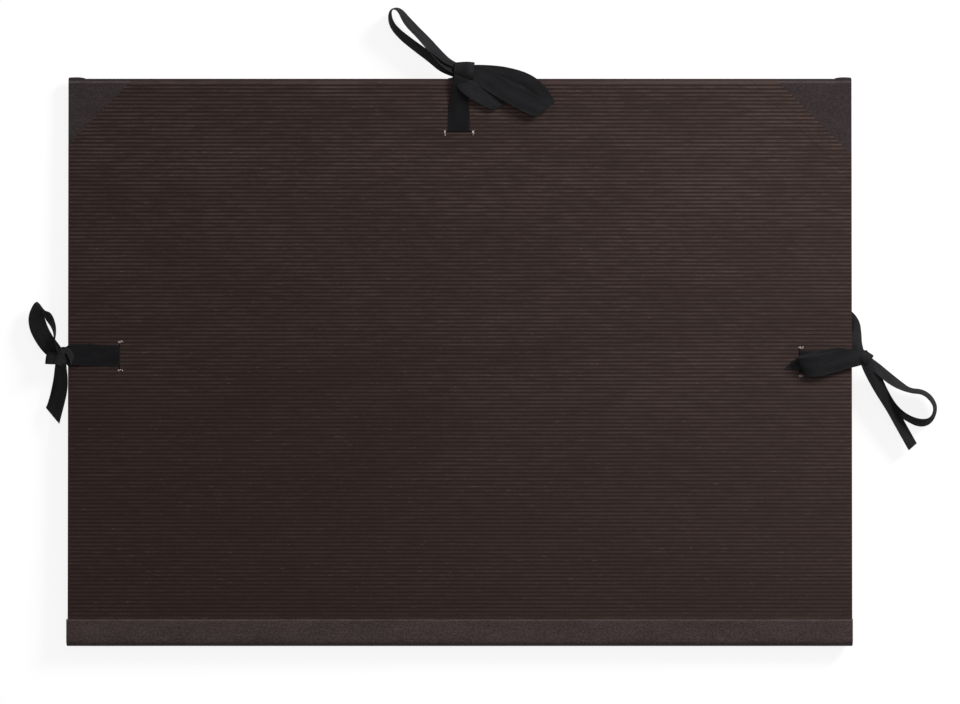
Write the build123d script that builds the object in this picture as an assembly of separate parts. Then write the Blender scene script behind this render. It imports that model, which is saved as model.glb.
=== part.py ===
from build123d import *
import os
from math import asin, atan2, cos, degrees, hypot, pi, sin, tan

os.makedirs("parts", exist_ok=True)

# Covers, in millimetres: width runs along the spine, depth from the spine to the open edge
cover_width = 720.0
cover_depth = 517.0
board_thickness = 2.4
paper_base = 0.4          # cover paper under its ribs
rib_height = 0.25
rib_pitch = 3.53
rib_foot = 2.3            # width of a rib where it leaves the base
rib_top = 1.7             # flat on top of a rib
edge_wrap = 0.3           # paper or cloth folded round a board's edge
turn_in = 15.0            # what is folded over onto the inner face
turned_thickness = 0.3    # turn-ins and hinge strips on the inner face
lining_thickness = 0.2
lining_inset = 6.0        # from the lining's edge to the cover's edge
lining_play = 0.15        # from the lining's step to the turn-ins

# Book cloth
cloth_thickness = 0.3
corner_leg = 60.0         # along each edge of the left corner triangle
corner_extra = 10.0       # how much longer the right one was cut
corner_lap = 24.0         # how much longer a leg is under the paper, on the right
flap_depth = 23.0         # spine cloth that laps each cover
cloth_end_wrap = 0.6      # spine cloth folded round the boards' ends
spine_gap = 7.0           # between the covers' inner faces at the spine
spine_bulge = 3.0         # the spine cloth stands this far out of the hinge lines
fold_clearance = 0.3      # between pieces that meet at a fold
strip_depth = 18.0        # hinge strip that laps each inner face
open_edge_gap = 0.4       # between the covers' inner faces at the open edge

# Tapes and their bracket-shaped slits
tape_width = 20.0
tape_thickness = 0.3
tab_length = 22.0         # glued end, in a seat pressed into the board
seat_play = 0.3
seat_room = 0.05          # over the glued end, for the paste
knot_folds = 14           # flats round a knot
knot_end = 0.66           # how far a knot is drawn in at its ends
slit_length = 26.0
slit_width = 1.2
slit_leg = 3.0            # short return at each end of a slit
slit_inset = {"top": 48.5, "left": 47.0, "right": 48.2}
slit_shift = {"top": -1.0, "left": 5.0, "right": -0.2}

# What follows from them
cover_thickness = (lining_thickness + turned_thickness + board_thickness + paper_base + rib_height)
inner_face = lining_thickness + turned_thickness      # of a board, above the lining's face
board_top = inner_face + board_thickness
rib_floor = board_top + paper_base
cloth_top = cover_thickness + cloth_thickness
half_width = cover_width / 2
hinge_y = -(cover_depth + spine_bulge) / 2 + spine_bulge
hinge_top = 2 * cloth_top + spine_gap
fall = hinge_top - cloth_top - open_edge_gap
tilt = asin(fall / hypot(cover_depth, cloth_top)) - atan2(cloth_top, cover_depth)
open_y = hinge_y + cover_depth
sides = {
    "top": {"edge": (0, open_y), "out": (0, 1), "along": (-1, 0)},
    "left": {"edge": (-half_width, 0), "out": (-1, 0), "along": (0, 1)},
    "right": {"edge": (half_width, 0), "out": (1, 0), "along": (0, 1)},
}


def block(x0, x1, y0, y1, z0, z1):
    """Box between two corners."""
    centre = ((x0 + x1) / 2, (y0 + y1) / 2, (z0 + z1) / 2)
    return Pos(*centre) * Box(x1 - x0, y1 - y0, z1 - z0)


def across(inset, spine_inset, z0, z1):
    """Plate over a whole cover, drawn in from its three open edges and from the spine edge."""
    x = half_width - inset
    return block(-x, x, spine_inset, cover_depth - inset, z0, z1)


def corner_prism(side, leg, z0, z1):
    """Triangle at one of the two free corners; side is -1 on the left and 1 on the right."""
    far = 2.0  # past the cover's own edges
    x, y = side * (half_width + far), cover_depth + far
    reach = leg + 2 * far
    outline = Polyline((x, y), (x - side * reach, y), (x, y - reach), close=True)
    return Pos(0, 0, z0) * extrude(make_face(outline), amount=z1 - z0, dir=(0, 0, 1))


def slit_cutter(name, z0, z1):
    """The cutter of one slit: a long cut with a short return at each end."""
    side = sides[name]
    (ex, ey), (ox, oy), (ax, ay) = side["edge"], side["out"], side["along"]
    x = ex - ox * slit_inset[name] + abs(ax) * slit_shift[name]
    y = ey - hinge_y - oy * slit_inset[name] + abs(ay) * slit_shift[name]
    half, thin = slit_length / 2, slit_width / 2
    leg_x, leg_y = (slit_leg, 0) if ax == 0 else (0, -slit_leg)
    cut = block(x - (half if ax else thin), x + (half if ax else thin),
                y - (half if ay else thin), y + (half if ay else thin), z0, z1)
    for end in (-1, 1):
        px, py = x + end * (half - thin) * abs(ax), y + end * (half - thin) * abs(ay)
        cut += block(min(px, px + leg_x) - thin, max(px, px + leg_x) + thin,
                     min(py, py + leg_y) - thin, max(py, py + leg_y) + thin, z0, z1)
    return cut


def tab_seat(name):
    """The shallow seat in a board's inner face for one tape's glued end."""
    side = sides[name]
    (ex, ey), (ox, oy), (ax, ay) = side["edge"], side["out"], side["along"]
    x = ex - ox * slit_inset[name] + abs(ax) * slit_shift[name]
    y = ey - hinge_y - oy * slit_inset[name] + abs(ay) * slit_shift[name]
    wide, long = tape_width / 2 + seat_play, tab_length + seat_play
    x_far, y_far = x - ox * long, y - oy * long
    return block(min(x, x_far) - wide * abs(ax), max(x, x_far) + wide * abs(ax),
                 min(y, y_far) - wide * abs(ay), max(y, y_far) + wide * abs(ay),
                 inner_face, inner_face + tape_thickness + seat_room)


def board():
    solid = across(edge_wrap, 0, inner_face, board_top)
    for name in sides:
        solid -= slit_cutter(name, 0, cloth_top) + tab_seat(name)
    return solid


def wrap(thickness):
    """Sheet over the outer face, round three edges and turned in, open at the spine."""
    shell = across(0, 0, lining_thickness, board_top + thickness)
    shell -= block(-half_width + edge_wrap, half_width - edge_wrap, -1,
                   cover_depth - edge_wrap, inner_face, board_top)
    return shell - block(-half_width + turn_in, half_width - turn_in, -1,
                         cover_depth - turn_in, 0, inner_face)


def rib_band():
    """The ribs as one comb-shaped profile, run along the cover's width."""
    start, end = flap_depth, cover_depth
    outline = [(start, rib_floor), (0, rib_floor), (0, cover_thickness)]
    slope = (rib_foot - rib_top) / 2
    groove = rib_pitch - rib_foot
    outline.append((start, cover_thickness))
    y = start + groove
    while y + rib_foot < end:
        outline += [(y, rib_floor), (y + slope, cover_thickness),
                    (y + slope + rib_top, cover_thickness), (y + rib_foot, rib_floor)]
        y += rib_pitch
    below = board_top + paper_base / 2
    outline += [(end, rib_floor), (end, below), (0, below)]
    outline = [outline[1]] + outline[2:]
    face = make_face(Polyline(*[(0, y, z) for y, z in outline], close=True))
    return Pos(-half_width, 0, 0) * extrude(face, amount=cover_width, dir=(1, 0, 0))


def shown_leg(side):
    return corner_leg + (corner_extra if side > 0 else 0)


def corner(side):
    """Cloth corner: the triangle that shows, its folds, and the lap under the paper."""
    shown = wrap(cloth_thickness) & corner_prism(side, shown_leg(side), 0, cover_thickness)
    under = corner_prism(side, corner_leg + corner_extra + corner_lap, board_top, board_top + cloth_thickness)
    return shown + (under & across(edge_wrap, 0, board_top, board_top + cloth_thickness))


def cover_paper(corners):
    solid = wrap(paper_base) + rib_band()
    for side, cloth in zip((-1, 1), corners):
        solid -= corner_prism(side, shown_leg(side), 0, cover_thickness + 1)
        solid -= cloth
    for name in sides:
        solid -= slit_cutter(name, 0, cloth_top)
    return solid


def lining():
    """Lining paper, stepped down where it leaves the turn-ins for the bare board."""
    step = turn_in + lining_play
    solid = across(lining_inset, lining_inset, 0, inner_face)
    frame = across(lining_inset, lining_inset, lining_thickness, inner_face)
    frame -= across(step, strip_depth + lining_play, lining_thickness, inner_face)
    pocket_inset = step + lining_thickness
    return solid - frame - across(pocket_inset, strip_depth + lining_play + lining_thickness,
                                  0, turned_thickness)


def spine_flap():
    """The spine cloth on one cover, folded round the boards' ends."""
    x = half_width + cloth_end_wrap
    flap = block(-x, x, fold_clearance, flap_depth, cover_thickness, cloth_top)
    for side in (-1, 1):
        near, far = side * half_width, side * x
        flap += block(min(near, far), max(near, far), fold_clearance, flap_depth,
                      lining_thickness, cover_thickness)
    return flap


def hinge_strip():
    """The inner cloth strip's share of one cover, between its turn-ins."""
    x = half_width - turn_in - lining_play
    return block(-x, x, fold_clearance, strip_depth, lining_thickness, inner_face)


def bowed_strip(length, depth):
    """Cloth along the spine that bows outwards between the hinge lines, depth inside the skin."""
    y, low = hinge_y - fold_clearance - cloth_thickness + depth, fold_clearance
    high, middle = hinge_top - fold_clearance, hinge_top / 2
    bulge = hinge_y - spine_bulge + depth
    inner_y, inner_bulge = y + cloth_thickness, bulge + cloth_thickness
    outline = [ThreePointArc((0, y, low), (0, bulge, middle), (0, y, high)),
               Line((0, y, high), (0, inner_y, high)),
               ThreePointArc((0, inner_y, high), (0, inner_bulge, middle), (0, inner_y, low)),
               Line((0, inner_y, low), (0, y, low))]
    return Pos(-length / 2, 0, 0) * extrude(make_face(outline), amount=length, dir=(1, 0, 0))


def on_front(solid):
    """From a cover's own frame to the front cover's place: it falls towards the open edge."""
    return Pos(0, hinge_y, hinge_top) * Rot(-degrees(tilt), 0, 0) * Pos(0, 0, -cloth_top) * solid


def on_back(solid):
    """From a cover's own frame to the back cover's place: outer face down."""
    return Pos(0, hinge_y, cloth_top) * mirror(solid, about=Plane.XY)


def front_height(y):
    """Height of the front cover's rib tops, carried on past its edges."""
    return hinge_top - cloth_thickness - (y - hinge_y) * tan(tilt)


def quadratic(a, b, c, t):
    return tuple((1 - t) ** 2 * p + 2 * t * (1 - t) * q + t * t * r for p, q, r in zip(a, b, c))


def smooth_line(stations, steps):
    """Points of the smooth line that a chain of stations pulls into shape."""
    middle = [tuple((p + q) / 2 for p, q in zip(a, b)) for a, b in zip(stations, stations[1:])]
    starts = [stations[0]] + middle[1:-1]
    ends = middle[1:-1] + [stations[-1]]
    line = [stations[0]]
    for start, pull, end in zip(starts, stations[1:-1], ends):
        line += [quadratic(start, pull, end, (k + 1) / steps) for k in range(steps)]
    return line


def flat_sided(sections):
    """A solid through a row of four-cornered sections, with flat triangles between them.

    Both broad sides are split from the same edge to the other, so that a twist keeps them apart."""
    outlines = [sections[0], sections[-1]]
    for low, high in zip(sections, sections[1:]):
        for i, j in ((0, 1), (1, 2), (3, 2), (0, 3)):
            outlines += [[low[i], low[j], high[j]], [low[i], high[j], high[i]]]
    return Solid(Shell([Face(Wire.make_polygon(outline, close=True)) for outline in outlines]))


def tape(name, stations, parts=1, steps=3):
    """A flat tape through stations (x, y, z, edge x, edge y, edge z), edge being half its width.

    Where it is gathered or folded it is narrower there, and as much thicker. It comes as a list
    of lengths that meet end to end, because a loop's two ends cross inside their knot."""
    line = smooth_line(stations, steps)
    places = [Vector(*p[:3]) for p in line]
    length = sum((b - a).length for a, b in zip(places, places[1:]))
    sections = []
    for i, (place, row) in enumerate(zip(places, line)):
        along = places[min(i + 1, len(line) - 1)] - places[max(i - 1, 0)]
        edge = Vector(*row[3:])
        folded = min(max(0.9 * tape_width / 2 / edge.length, 1.0), 2.0)
        off = along.cross(edge).normalized() * (tape_thickness / 2 * folded)
        sections.append([place + edge + off, place + edge - off,
                         place - edge - off, place - edge + off])
    print(f"{name}: {length:.0f} mm of tape")
    cuts = [round(k * (len(sections) - 1) / parts) for k in range(parts + 1)]
    return [flat_sided(sections[a:b + 1]) for a, b in zip(cuts, cuts[1:])]


def bow_stations(side_name, stations):
    """Stations given from the middle of an open edge and the front cover's plane."""
    ex, ey = sides[side_name]["edge"]
    return [(x + ex, y + ey, front_height(y + ey) + h, wx, wy, wz - wy * tan(tilt))
            for x, y, h, wx, wy, wz in stations]


def through_slit(name, tab_level, out_level):
    """Stations of a tape's glued end and its way through the slit, as heights."""
    side = sides[name]
    (ex, ey), (ox, oy), (ax, ay) = side["edge"], side["out"], side["along"]
    bend, way = 0.8, 1 if out_level > tab_level else -1
    profile = [(-tab_length, tab_level), (-tab_length / 2, tab_level), (-bend, tab_level),
               (0, tab_level), (0, tab_level + way * bend), (0, out_level - way * bend),
               (0, out_level), (bend, out_level)]
    inset, shift, half = slit_inset[name], slit_shift[name], tape_width / 2
    return [(ox * (u - inset) + abs(ax) * shift, oy * (u - inset) + abs(ay) * shift, h,
             ax * half, ay * half, 0) for u, h in profile]


def front_ribbon(name, strap, bow):
    """Front tape, from its glued end to the knot."""
    glued = inner_face + tape_thickness / 2 - cover_thickness
    stations = through_slit(name, glued, on_ribs) + strap
    return tape(f"{name}_front_ribbon", bow_stations(name, stations))[0] - bow


def back_ribbon(name, strap):
    """Back tape, under the back cover and up its edge to just below the knot."""
    ex, ey = sides[name]["edge"]
    glued = cloth_top - inner_face - tape_thickness / 2
    stations = through_slit(name, glued, under_cover) + strap
    return tape(f"{name}_back_ribbon", [(x + ex, y + ey, *rest) for x, y, *rest in stations])[0]


def knot(name, centre, size, axis):
    """The drawn-up wrap of tape: an oval bar of flat folds, drawn in towards its ends."""
    x, y, h = centre
    ex, ey = sides[name]["edge"]
    length, wide, high = size
    middle = Vector(x + ex, y + ey, front_height(y + ey) + h)
    along, cross = (Vector(1, 0, 0), Vector(0, 1, 0))[:: 1 if axis == "x" else -1]
    rings = []
    for reach, share in ((-1, knot_end), (-0.7, 1), (0.7, 1), (1, knot_end)):
        turns = [2 * pi * (k + 0.5) / knot_folds for k in range(knot_folds)]
        rings.append(Wire.make_polygon(
            [middle + along * (reach * length / 2) + cross * (share * wide / 2 * cos(turn))
             + Vector(0, 0, share * high / 2 * sin(turn)) for turn in turns], close=True))
    return Solid.make_loft(rings, ruled=True)


def bow(name, knot_solid, strips):
    solid = knot_solid
    for what, stations in strips.items():
        for length in tape(f"{name} {what}", bow_stations(name, stations), parts=2):
            solid += length
    return solid


# Tape routes, chosen by hand: x and y from the middle of the open edge, height over the front
# cover's plane, then the vector from the tape's middle to its edge.
on_ribs = tape_thickness / 2 + 0.02
under_cover = tape_thickness / 2
top_strap = [
    (-0.9, -36.4, 0.17, -9.9, 0.0, 0.0),
    (-0.9, -23.5, 0.20, -9.2, 0.0, 0.0),
    (-0.5, -10.7, 0.40, -7.8, 0.0, 0.0),
    (0.5, -1.5, 1.00, -6.9, 0.0, 0.0),
    (1.4, 5.9, 1.60, -6.0, 0.0, 0.0),
]
top_loops = {
    "leaf": [
        (3.7, 6.8, 1.00, 0.0, 5.5, -1.0),
        (22.0, 3.6, 1.40, -0.9, 8.7, -1.0),
        (42.2, -0.1, 1.80, 2.3, 9.6, -1.0),
        (63.4, -7.9, 2.60, 4.6, 8.7, -1.0),
        (76.2, -17.1, 4.50, 5.5, 6.9, 0.0),
        (84.5, -25.3, 9.00, 7.3, 5.5, 1.0),
        (78.1, -29.0, 13.00, 7.3, 6.0, 1.0),
        (64.3, -22.6, 13.50, 4.6, 8.3, 1.0),
        (44.1, -11.6, 11.50, 4.1, 8.7, 1.0),
        (25.7, -1.9, 7.00, 2.8, 7.8, 0.5),
        (7.3, 5.9, 3.20, 0.9, 5.5, 0.0),
    ],
    "tail": [
        (0.9, 6.8, 1.50, -6.0, 0.0, 0.0),
        (0.9, -0.6, 4.50, -7.3, -0.9, -1.0),
        (5.5, -8.8, 5.50, -6.0, -4.1, -3.0),
        (18.4, -16.6, 4.80, -2.8, -4.8, -4.0),
        (36.7, -26.3, 3.60, -2.6, -4.4, -3.0),
    ],
    "long loop": [
        (1.8, 6.8, 1.00, 2.8, 4.6, -1.0),
        (-10.1, 11.4, 2.50, 3.2, 5.1, -4.0),
        (-20.2, 22.4, 3.50, 4.6, 4.1, -7.0),
        (-33.1, 37.1, 4.50, 4.8, 3.9, -7.8),
        (-46.8, 53.6, 5.00, 4.6, 3.5, -8.0),
        (-56.0, 66.0, 4.50, 1.4, 3.7, -9.0),
        (-64.3, 63.7, 4.00, -1.8, 1.8, -9.5),
        (-64.7, 51.8, 3.50, -2.5, -0.9, -9.6),
        (-56.9, 40.8, 3.20, -2.8, -3.1, -9.0),
        (-43.2, 29.8, 3.00, -2.8, -3.7, -8.8),
        (-27.6, 19.2, 2.50, -2.8, -3.9, -8.0),
        (-13.8, 7.7, 1.50, -2.3, -4.1, -4.0),
        (0.0, 5.0, 0.50, -0.9, -4.6, 0.0),
    ],
}
left_strap = [
    (29.4, 5.6, 0.30, 0.0, 9.7, 0.0),
    (16.5, 6.0, 1.30, 0.0, 9.4, 0.0),
    (7.3, 6.2, 2.20, 0.0, 8.6, 0.0),
    (1.8, 6.0, 2.60, 0.0, 7.8, 0.0),
    (-3.7, 5.5, 2.80, 0.0, 6.4, 0.0),
]
left_loops = {
    "loop": [
        (-2.8, 4.1, 3.00, -3.2, -3.7, 0.0),
        (-13.8, 10.6, 2.50, -5.1, -3.7, -5.0),
        (-23.0, 22.5, 1.00, -6.4, -3.5, -7.0),
        (-28.5, 36.3, 0.00, -7.3, -0.5, -6.8),
        (-28.9, 49.1, -0.60, -5.5, 3.7, -7.0),
        (-23.4, 56.5, -0.80, -0.5, 4.1, -8.8),
        (-16.5, 47.3, -1.00, 2.8, 1.8, -9.3),
        (-12.9, 33.5, -1.00, 2.3, 0.5, -9.6),
        (-11.7, 22.5, -0.60, 1.7, -0.3, -9.6),
        (-10.1, 13.3, 1.00, 1.8, 0.7, -7.0),
        (-3.7, 6.0, 2.80, 1.8, 1.0, -1.0),
    ],
    "tail": [
        (-4.6, 3.2, 3.00, -3.7, 0.0, 0.0),
        (-6.2, -5.1, 2.50, -4.4, 0.0, -3.0),
        (-6.1, -14.2, 0.50, -5.5, 0.0, -5.0),
        (-7.3, -25.7, -2.50, -6.4, 1.4, -6.0),
        (-10.1, -37.2, -4.30, -6.4, 2.8, -6.0),
        (-14.7, -50.5, -5.00, -6.2, 6.0, -4.0),
    ],
    "short loop": [
        (-2.8, 4.1, 2.00, 0.0, 5.5, 0.0),
        (-12.9, 3.2, 1.00, 0.5, 6.0, 0.0),
        (-19.7, 3.2, 1.40, 0.9, 5.5, 0.0),
        (-19.7, 3.2, 4.40, 0.9, 5.5, 0.0),
        (-12.9, 3.2, 5.00, 0.5, 6.0, 0.0),
        (-2.8, 4.1, 4.50, 0.0, 6.4, 0.0),
    ],
    "short tail": [
        (-1.8, 6.9, 1.20, 0.9, 5.5, 0.0),
        (5.5, 9.2, 0.70, 1.8, 6.4, 0.0),
        (11.0, 10.6, 0.50, 2.8, 6.4, 0.0),
        (16.5, 13.8, 0.40, 3.7, 3.7, 0.0),
    ],
}
right_strap = [
    (-34.0, -0.5, 0.17, 0.0, 9.9, 0.0),
    (-20.2, 0.0, 0.20, 0.0, 9.2, 0.0),
    (-3.7, 0.9, 0.60, 0.0, 7.8, 0.0),
    (4.6, 1.6, 1.20, 0.0, 5.5, 0.0),
    (12.9, 2.3, 1.50, 0.0, 4.1, 0.0),
]
right_loops = {
    "leaf": [
        (12.9, 2.3, 1.60, 0.0, 4.1, 0.0),
        (3.7, 1.8, 2.20, 0.5, 6.9, 0.0),
        (-9.2, 2.8, 2.40, 0.0, 9.9, 0.0),
        (-25.7, 0.0, 2.40, -1.8, 10.1, 0.0),
        (-40.4, -4.1, 3.20, -3.7, 7.3, 0.0),
        (-51.4, -6.9, 6.50, -3.7, 5.5, 0.0),
        (-45.0, -7.3, 10.00, -4.1, 6.4, 0.0),
        (-29.4, -4.1, 11.50, -2.8, 9.6, 0.0),
        (-11.0, 2.5, 10.50, -0.9, 9.9, 0.0),
        (2.8, 2.8, 6.50, 0.0, 7.3, 0.0),
        (12.9, 2.3, 3.50, 0.0, 4.1, 0.0),
    ],
    "tail": [
        (11.9, 3.2, 4.20, -4.1, -2.3, 0.0),
        (13.3, -6.0, 4.60, -4.1, -3.2, 0.0),
        (23.9, -23.4, 4.20, -4.6, -2.6, -1.0),
        (35.8, -42.7, 2.40, -3.7, -2.6, -1.0),
        (44.1, -57.4, -2.50, -3.7, -2.9, -1.0),
        (56.5, -78.5, -9.00, -3.3, -2.9, -0.5),
    ],
    "round loop": [
        (11.9, 2.3, 1.50, 1.8, 3.7, 0.0),
        (22.0, -5.1, 1.20, 2.3, 4.1, -5.0),
        (32.1, -13.8, 0.00, 2.8, 4.4, -7.5),
        (43.2, -21.6, -1.00, 2.6, 3.3, -8.5),
        (54.2, -27.1, -1.20, 0.7, 2.0, -9.3),
        (64.3, -27.6, -1.20, 0.5, 1.7, -9.5),
        (72.6, -32.6, -1.20, 1.3, 1.3, -9.5),
        (79.4, -42.7, -1.20, 1.2, 0.0, -9.7),
        (74.4, -55.1, -1.20, 1.1, -2.2, -9.2),
        (63.4, -58.3, -1.50, 0.0, -3.7, -8.8),
        (52.3, -52.8, -2.50, -1.8, -3.7, -8.0),
        (41.3, -43.2, -4.40, -3.7, -4.1, -5.5),
        (31.2, -29.8, -3.20, -4.6, -3.2, -4.0),
        (23.0, -14.2, -1.20, -4.6, -2.3, -2.5),
        (13.8, 0.5, 1.00, -3.7, -0.9, 0.0),
    ],
    "short tail": [
        (12.9, 1.8, 1.30, 0.0, 3.7, 0.0),
        (-1.8, 0.9, 1.30, 0.0, 5.1, 0.0),
        (-24.8, 0.0, 1.20, 0.0, 5.5, 0.0),
        (-42.2, -0.5, 1.00, 0.5, 4.6, 0.0),
        (-48.7, -0.5, 0.50, 2.8, 4.6, 0.0),
        (-55.6, 0.0, 0.25, 6.9, 4.1, 0.0),
    ],
}

# Back tapes: heights over the table
back_straps = {
    "top": [
        (-1.0, -24.0, under_cover, -10.0, 0.0, 0.0),
        (-1.0, 0.2, under_cover, -10.0, 0.0, 0.0),
        (-1.0, 0.9, under_cover, -10.0, 0.0, 0.0),
        (-1.0, 0.9, 1.0, -9.5, 0.0, 0.0),
        (0.0, 0.9, 3.6, -8.0, 0.0, 0.0),
        (1.2, 2.2, 4.8, -7.0, 0.0, 0.0),
        (1.8, 5.2, 5.2, -6.0, 0.0, 0.0),
    ],
    "left": [
        (24.0, 5.0, under_cover, 0.0, 10.0, 0.0),
        (-0.2, 5.0, under_cover, 0.0, 10.0, 0.0),
        (-0.9, 5.0, under_cover, 0.0, 10.0, 0.0),
        (-0.9, 5.0, 1.0, 0.0, 9.5, 0.0),
        (-0.9, 5.0, 9.8, 0.0, 8.0, 0.0),
        (-2.2, 5.0, 10.7, 0.0, 7.0, 0.0),
    ],
    "right": [
        (-40.4, 0.5, under_cover, -4.2, 9.2, 0.0),
        (-24.0, 20.0, under_cover, -6.6, 7.6, 0.0),
        (-3.8, 39.0, under_cover, -5.4, 8.6, 0.0),
        (4.6, 37.6, under_cover, 1.2, 9.2, 0.0),
        (5.0, 24.0, 1.4, 4.6, 1.5, 0.0),
        (5.2, 14.0, 5.4, 4.4, 0.5, 0.0),
        (9.0, 6.0, 9.2, 3.2, 0.5, 0.0),
    ],
}

pieces = {}
for place, put in (("front", on_front), ("back", on_back)):
    corners = [corner(side) for side in (-1, 1)]
    pieces[f"{place}_board"] = put(board())
    pieces[f"{place}_cover_paper"] = put(cover_paper(corners))
    pieces[f"{place}_corner_left"], pieces[f"{place}_corner_right"] = map(put, corners)
    pieces[f"{place}_lining"] = put(lining())
    pieces[f"spine_cloth_{place}"] = put(spine_flap())
    pieces[f"hinge_strip_{place}"] = put(hinge_strip())

pieces["spine_cloth"] = bowed_strip(cover_width + 2 * cloth_end_wrap, 0)
strip_length = cover_width - 2 * (turn_in + lining_play)
strip_low = cloth_top - inner_face
between_strips = block(-half_width, half_width, hinge_y - spine_bulge, hinge_y,
                       strip_low, hinge_top - strip_low)
pieces["spine_lining"] = bowed_strip(strip_length, cloth_thickness) & between_strips

bows = {
    "top": bow("top", knot("top", (3.7, 7.3, 1.6), (19.0, 12.0, 7.4), "x"), top_loops),
    "left": bow("left", knot("left", (-1.8, 5.5, 3.5), (18.0, 15.0, 6.4), "y"), left_loops),
    "right": bow("right", knot("right", (11.9, 2.3, 1.9), (13.0, 11.0, 7.0), "y"), right_loops),
}
front_straps = {"top": top_strap, "left": left_strap, "right": right_strap}
for name in sides:
    pieces[f"{name}_bow"] = bows[name]
    pieces[f"{name}_front_ribbon"] = front_ribbon(name, front_straps[name], bows[name])
    pieces[f"{name}_back_ribbon"] = back_ribbon(name, back_straps[name])

for name, solid in pieces.items():
    export_step(solid, f"parts/{name}.step")
print(f"hinge lines at y {hinge_y:.2f}, z 0 and {hinge_top:.2f}; the front cover falls"
      f" {degrees(tilt):.3f} degrees and is {front_height(open_y):.2f} high at the open edge")
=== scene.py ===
# %% [markdown]
# # A drawing portfolio, tied with tapes
#
# Two large boards in ribbed paper are hinged by a strip of book cloth and tied shut on three
# sides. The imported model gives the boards, papers and linings at their places. This script gives
# them their finishes, and models what is soft: the tapes, their bows and the cloth of the spine.

# %% Load the frame
from math import cos, pi, radians, sin
from random import Random

import bpy
from mathutils import Matrix, Vector, noise


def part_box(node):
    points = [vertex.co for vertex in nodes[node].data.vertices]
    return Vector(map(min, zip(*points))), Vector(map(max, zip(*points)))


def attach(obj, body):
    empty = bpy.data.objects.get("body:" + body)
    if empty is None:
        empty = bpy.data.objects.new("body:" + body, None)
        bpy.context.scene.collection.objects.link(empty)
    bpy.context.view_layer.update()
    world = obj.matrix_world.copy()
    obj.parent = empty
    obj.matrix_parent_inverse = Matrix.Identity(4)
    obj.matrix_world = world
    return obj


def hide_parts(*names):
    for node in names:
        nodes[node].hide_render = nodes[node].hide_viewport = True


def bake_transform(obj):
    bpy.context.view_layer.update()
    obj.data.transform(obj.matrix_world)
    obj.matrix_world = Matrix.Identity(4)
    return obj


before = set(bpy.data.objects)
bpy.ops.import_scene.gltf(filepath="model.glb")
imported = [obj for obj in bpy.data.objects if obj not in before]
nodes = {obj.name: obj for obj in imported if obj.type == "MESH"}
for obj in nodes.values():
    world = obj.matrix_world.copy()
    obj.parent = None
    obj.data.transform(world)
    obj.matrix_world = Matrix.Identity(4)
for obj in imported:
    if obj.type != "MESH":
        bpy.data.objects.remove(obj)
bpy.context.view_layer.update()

MM = 0.001
print("packed nodes:", len(nodes))

# %% [markdown]
# ## Sizes that the pieces share
#
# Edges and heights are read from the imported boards, so a changed board carries its cloth and its
# tapes with it. All heights count from the ground, the plane at Z = 0 that the back cover lies
# on. The front cover falls from the spine to the open edge. Its slope is read from the flat top
# of the spine cloth's lap, and gives the height of the cover anywhere.

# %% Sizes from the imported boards
paper_low, paper_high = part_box("back_cover_paper")
HALF_WIDTH, HINGE_Y, OPEN_Y = paper_high.x, paper_low.y, paper_high.y
CLOTH = 0.3 * MM  # thickness of book cloth
LAP = 20.5 * MM   # how far the spine cloth laps a cover
LAP_EDGE = HINGE_Y + LAP
TAPE_WIDTH = 20 * MM
TAPE_THICKNESS = 0.35 * MM
FLAT_STRAP = 62 * MM  # from a tape's glued end to where it is handled
FACES_UP = 0.9        # least height of a normal on the top of a piece

lap = nodes["spine_cloth_front"].data
lap_faces = [face for face in lap.polygons if face.normal.z > FACES_UP]
lap_top = [lap.vertices[corner].co for face in lap_faces for corner in face.vertices]
LAP_MIDDLE = LAP_EDGE - LAP / 2
lap_near = max((p for p in lap_top if p.y < LAP_MIDDLE), key=lambda p: p.z)
lap_far = max((p for p in lap_top if p.y > LAP_MIDDLE), key=lambda p: p.z)
SLOPE = (lap_near.z - lap_far.z) / (lap_far.y - lap_near.y)
HINGE_TOP = lap_near.z + (lap_near.y - HINGE_Y) * SLOPE


def front_height(y):
    """Height of the front cover's rib tops over the ground."""
    return HINGE_TOP - CLOTH - (y - HINGE_Y) * SLOPE


print("upper hinge line", round(HINGE_TOP / MM, 2), "mm up")
print("open edge", round(front_height(OPEN_Y) / MM, 2), "mm up")

# %% [markdown]
# ## Camera and picture
#
# The photograph looks straight down from far off, with the open edge at the top of the picture
# and almost no perspective. The camera hangs over the place on the cover that is the middle of
# the picture, and its lens is set from the width of cover that the picture takes in.

# %% Camera
PICTURE_WIDTH = 881.7 * MM  # how much of the cover's plane the picture takes in
PICTURE_MIDDLE = Vector((18.4, 8.7, 0)) * MM
CAMERA_DISTANCE = 3.2
SENSOR_WIDTH = 36  # in millimetres, as the lens is
FARTHEST = 20      # metres, past the far edge of the table

camera_data = bpy.data.cameras.new("camera")
camera_data.sensor_width = SENSOR_WIDTH
camera_data.lens = SENSOR_WIDTH * CAMERA_DISTANCE / PICTURE_WIDTH
camera_data.clip_end = FARTHEST
camera = bpy.data.objects.new("camera", camera_data)
camera.location = PICTURE_MIDDLE + Vector((0, 0, front_height(0) + CAMERA_DISTANCE))
bpy.context.scene.collection.objects.link(camera)
bpy.context.scene.camera = camera
bpy.context.scene.view_settings.view_transform = "Standard"

# %% [markdown]
# ## Writing materials as sums
#
# A material here is worked out as if it were arithmetic. The small class below holds one output
# of a node. Adding or multiplying two of them adds the Math node that does it, so that a rib or
# a weave reads as the formula that it is.

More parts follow.
